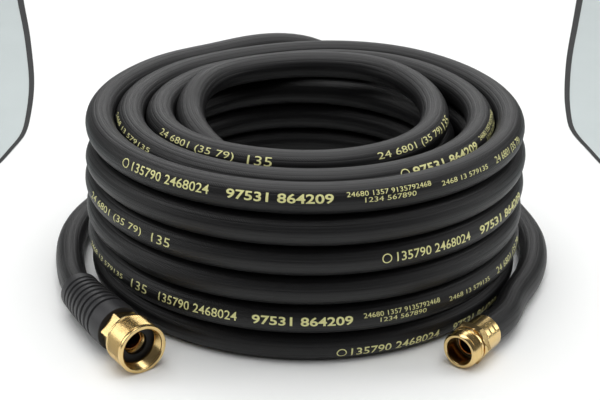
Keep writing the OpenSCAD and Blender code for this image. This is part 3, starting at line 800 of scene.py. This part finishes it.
def figures(digits, bearing_from, bearing_to, turn, height, middle=0.0, weight=0.0):
    """A run of digits between two bearings, this high in millimetres."""
    data = bpy.data.curves.new("figures", "FONT")
    data.body, data.offset, data.resolution_u = digits, weight, 3
    made = linked("figures", data)
    bpy.context.view_layer.update()
    graph = bpy.context.evaluated_depsgraph_get()
    mesh = bpy.data.meshes.new_from_object(made.evaluated_get(graph))
    bpy.data.objects.remove(made)
    corners = np.array([v.co[:2] for v in mesh.vertices])
    low, high = corners.min(0), corners.max(0)
    start, stop = reach(bearing_from), reach(bearing_to)
    size = ((stop - start) / (high[0] - low[0]), height / (high[1] - low[1]))
    to_start = Matrix.Translation((-low[0], -(low[1] + high[1]) / 2, 0))
    mesh.transform(Matrix.Diagonal((*size, 1, 1)) @ to_start)
    tiles = bmesh.new()
    tiles.from_mesh(mesh)
    cuts = [((x, 0, 0), (1, 0, 0)) for x in np.arange(TILE_ALONG, stop - start, TILE_ALONG)]
    cuts += [((0, y, 0), (0, 1, 0)) for y in np.arange(-height / 2, height / 2, TILE_ROUND)[1:]]
    for place, normal in cuts:
        whole = tiles.verts[:] + tiles.edges[:] + tiles.faces[:]
        bmesh.ops.bisect_plane(tiles, geom=whole, plane_co=place, plane_no=normal)
    tiles.verts.index_update()
    faces = [[v.index for v in f.verts] for f in tiles.faces]
    lay_flat([v.co[:2] for v in tiles.verts], faces, start, middle, turn)
    tiles.free()
    bpy.data.meshes.remove(mesh)


def plain_ring(bearing, turn, radius=2.9, width=0.65, sides=28):
    """A flat ring round a bearing, at this angle round the hose."""
    around = np.arange(sides) * 2 * math.pi / sides
    points = [(r * math.cos(a), r * math.sin(a)) for r in (radius - width, radius) for a in around]
    faces = [[k, (k + 1) % sides, sides + (k + 1) % sides, sides + k] for k in range(sides)]
    lay_flat(points, faces, reach(bearing), 0, turn)


FIRST, SECOND, UPPER, LOWER = "135790 2468024", "97531 864209", "24680 1357 9135792468", "1234 567890"
THIRD, FOURTH, FIFTH = "2468 13 579135", "24 6801 (35 79)", "135"
MAIN, SMALL, MEDIUM, BOLD = 5.6, 2.9, 0.008, 0.022
PAIR_APART, PAIR_INSET = 1.9, 0.2


def line_of_print(turn, ring=None, first=None, second=None, pair=None, third=None, fourth=None, fifth=None):
    """One stretch of the running print. Each part is a pair of bearings, the ring is one."""
    if ring:
        plain_ring(ring, turn)
    parts = ((FIRST, first, MAIN, MEDIUM), (SECOND, second, MAIN, BOLD), (THIRD, third, SMALL, 0),
             (FOURTH, fourth, MAIN, 0), (FIFTH, fifth, MAIN, 0))
    for digits, span, height, weight in parts:
        if span:
            figures(digits, *span, turn, height, weight=weight)
    if pair:
        inset = PAIR_INSET * (pair[1] - pair[0])
        figures(UPPER, *pair, turn, SMALL, middle=PAIR_APART)
        figures(LOWER, pair[0] + inset, pair[1] - inset, turn, SMALL, middle=-PAIR_APART)


line_of_print(22, ring=221.9, first=(224.4, 247.6), second=(251.9, 276.8), pair=(279.8, 301),
              third=(304, 320), fourth=(323.8, 340))
line_of_print(30, third=(548, 580), ring=658.9, second=(661.5, 690), pair=(693, 717))
line_of_print(30, fourth=(928.4, 965.4), fifth=(970.4, 979.1))
line_of_print(30, fourth=(1015.9, 1055), fifth=(1058, 1067.5))
line_of_print(12, fourth=(5242, 5267.9), fifth=(5271.4, 5277.1), ring=5329.6, first=(5332.1, 5353.6),
              second=(5357.3, 5382))
line_of_print(12, third=(5958, 5979.6), fifth=(5983.3, 5989.1), first=(5993.1, 6014.6),
              second=(6018.2, 6041.9), pair=(6044.5, 6064.9), fourth=(6087.4, 6108))
line_of_print(12, third=(6067.8, 6083.4))
line_of_print(-12, ring=6399.6, first=(6401.9, 6426), second=(6430.5, 6450))
print(len(sheet_faces), "faces on the sheet")

# %% The sheet on the hose
tree, given, end = new_tree("wrap on the hose", Guide=bpy.types.Object, Radius=float, Lift=float,
                            Finish=bpy.types.Material)
guide = add(tree, "GeometryNodeObjectInfo", {0: given.outputs["Guide"]}).outputs["Geometry"]
flat = add(tree, "ShaderNodeSeparateXYZ", {0: add(tree, "GeometryNodeInputPosition")})
turn = add(tree, "ShaderNodeMath", {0: flat.outputs[1], 1: given.outputs["Radius"]}, operation="DIVIDE")
out = add(tree, "ShaderNodeMath", {0: given.outputs["Radius"], 1: given.outputs["Lift"]}, operation="ADD")
cosine = add(tree, "ShaderNodeMath", {0: turn}, operation="COSINE")
sine = add(tree, "ShaderNodeMath", {0: turn}, operation="SINE")
side = add(tree, "ShaderNodeMath", {0: cosine, 1: out}, operation="MULTIPLY")
up = add(tree, "ShaderNodeMath", {0: sine, 1: out}, operation="MULTIPLY")
spot = on_line(tree, guide, flat.outputs[0], side, up)
wrapped = add(tree, "GeometryNodeSetPosition", {0: given, "Position": spot})
finish_tree(tree, given, end, wrapped)

INK_LIFT = 0.05
sheet = bpy.data.meshes.new("print sheet")
sheet.from_pydata(sheet_points, [], sheet_faces)
sheet.transform(Matrix.Scale(MM, 4))
guide = path_object("print line", hose_path)
mesh = grow("print", tree, linked("print sheet", sheet), Guide=guide, Radius=HOSE_R * MM,
            Lift=INK_LIFT * MM, Finish=ink)
bpy.data.objects.remove(guide)
mesh.materials.clear()
mesh.materials.append(ink)
figures_piece = linked("print", mesh)
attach(figures_piece, "hose")
print(f"print: {len(mesh.polygons)} faces")

# %% The hose's length and thickness
print(f"{HOSE_LENGTH:.2f} m of hose, {2 * HOSE_R} mm thick")

# %% [markdown]
# ## The floor and the light
#
# The coil lies on a white table under a large softbox, with strips at the sides and at the
# back. A low lamp brightens the table in front. Gloss doesn't show it, so that the walls of
# the coil keep their depth.

# %% Floor, world and lamps
floor_finish, tree, shader = material("matt white table")
place = add(tree, "ShaderNodeTexCoord").outputs["Object"]
grain = add(tree, "ShaderNodeTexNoise", {"Vector": place, "Scale": 3.0})
tone = add(tree, "ShaderNodeMix", {0: grain.outputs[0], 6: colour("#f2f3f2"), 7: colour("#f6f7f6")},
           data_type="RGBA")
tree.links.new(tone.outputs[2], shader.inputs["Base Color"])
shader.inputs["Roughness"].default_value = 0.6
FLOOR_HALF = 4
mesh = bpy.data.meshes.new("floor")
corners = [(x * FLOOR_HALF, y * FLOOR_HALF, 0) for x, y in ((-1, -1), (1, -1), (1, 1), (-1, 1))]
mesh.from_pydata(corners, [], [(0, 1, 2, 3)])
mesh.materials.append(floor_finish)
linked("floor", mesh)

# %% [markdown]
# The coil stands in a light tent. Its side panels lie folded out on the table, and a black
# piping runs along each panel's edge. The white fabric is matt and lies in shade, so it reads
# as a pale grey.

# %% The tent's panels
def stage_sheet(name, outline, height, finish):
    """A flat polygon on the table, for the stage. Its corners are in millimetres."""
    mesh = bpy.data.meshes.new(name)
    mesh.from_pydata([(x * MM, y * MM, height * MM) for x, y in outline], [], [range(len(outline))])
    mesh.materials.append(finish)
    linked(name, mesh)


panel = plain("white tent fabric, in shade", "#bcc4c4", "#b4bcbc", 0.7, 20.0)
piping = plain("black tent piping", "#141416", "#0e0e10", 0.6, 60.0)
LEFT_EDGE = [
    (-352, 800), (-330, 700), (-307, 598), (-282, 497), (-260, 401), (-248, 344), (-239, 290), (-233, 243),
    (-231, 207), (-234, 182), (-239, 149), (-252, 110), (-275, 70), (-320, 30), (-420, 0),
]
RIGHT_EDGE = [
    (344, 830), (322, 730), (299, 630), (276, 528), (253, 425), (239, 352), (232, 310), (227, 271),
    (225, 241), (227, 220), (231, 198), (238, 160), (252, 120), (275, 80), (320, 40), (420, 10),
]
PIPING_WIDTH, PANEL_REACH = 3.2, 1500
PANEL_HEIGHT, PIPING_HEIGHT = 0.3, 0.6
WIDTH_IN_FRONT, WIDER_BY_ONE = 0.7, 420
for name, side, edge in (("left", -1, LEFT_EDGE), ("right", 1, RIGHT_EDGE)):
    smooth = [tuple(p[:2]) for p in smooth_line([(x, y, 0) for x, y in edge], 8)]
    far = [(x + side * PIPING_WIDTH * (WIDTH_IN_FRONT + y / WIDER_BY_ONE), y) for x, y in smooth]
    fold = [(side * PANEL_REACH, smooth[-1][1]), (side * PANEL_REACH, smooth[0][1])]
    stage_sheet(f"{name}_panel", smooth + fold, PANEL_HEIGHT, panel)
    stage_sheet(f"{name}_piping", smooth + far[::-1], PIPING_HEIGHT, piping)

# %% The world and the lamps
world = bpy.data.worlds.new("room")
world.use_nodes = True
sky = world.node_tree.nodes["Background"]
sky.inputs["Color"].default_value = colour("#ffffff")
sky.inputs["Strength"].default_value = 0.1
bpy.context.scene.world = world


def lamp(name, place, aim, size, power, seen=True):
    """A softbox: its place, its aim, its sides in metres, its watts, and if gloss shows it."""
    data = bpy.data.lights.new(name, "AREA")
    data.shape, data.size, data.size_y, data.energy = "RECTANGLE", size[0], size[1], power
    made = linked(name, data)
    made.location = place
    made.rotation_euler = (Vector(aim) - Vector(place)).to_track_quat("-Z", "Y").to_euler()
    made.visible_camera = False
    made.visible_glossy = seen


lamp("top softbox", (0, 0.1, 1.3), (0, 0, 0), (1.6, 1.2), 18)
lamp("back softbox", (0, 1.4, 0.8), (0, 0, 0.1), (1.8, 0.7), 8)
lamp("table fill", (0, -0.75, 0.9), (0, -0.6, 0), (1.6, 0.6), 3.5, seen=False)
lamp("left strip", (-1.3, 0.1, 0.7), (0, 0, 0.05), (0.5, 1.0), 4)
lamp("right strip", (1.3, 0.1, 0.7), (0, 0, 0.05), (0.5, 1.0), 4)
bpy.context.scene.view_settings.view_transform = "Standard"
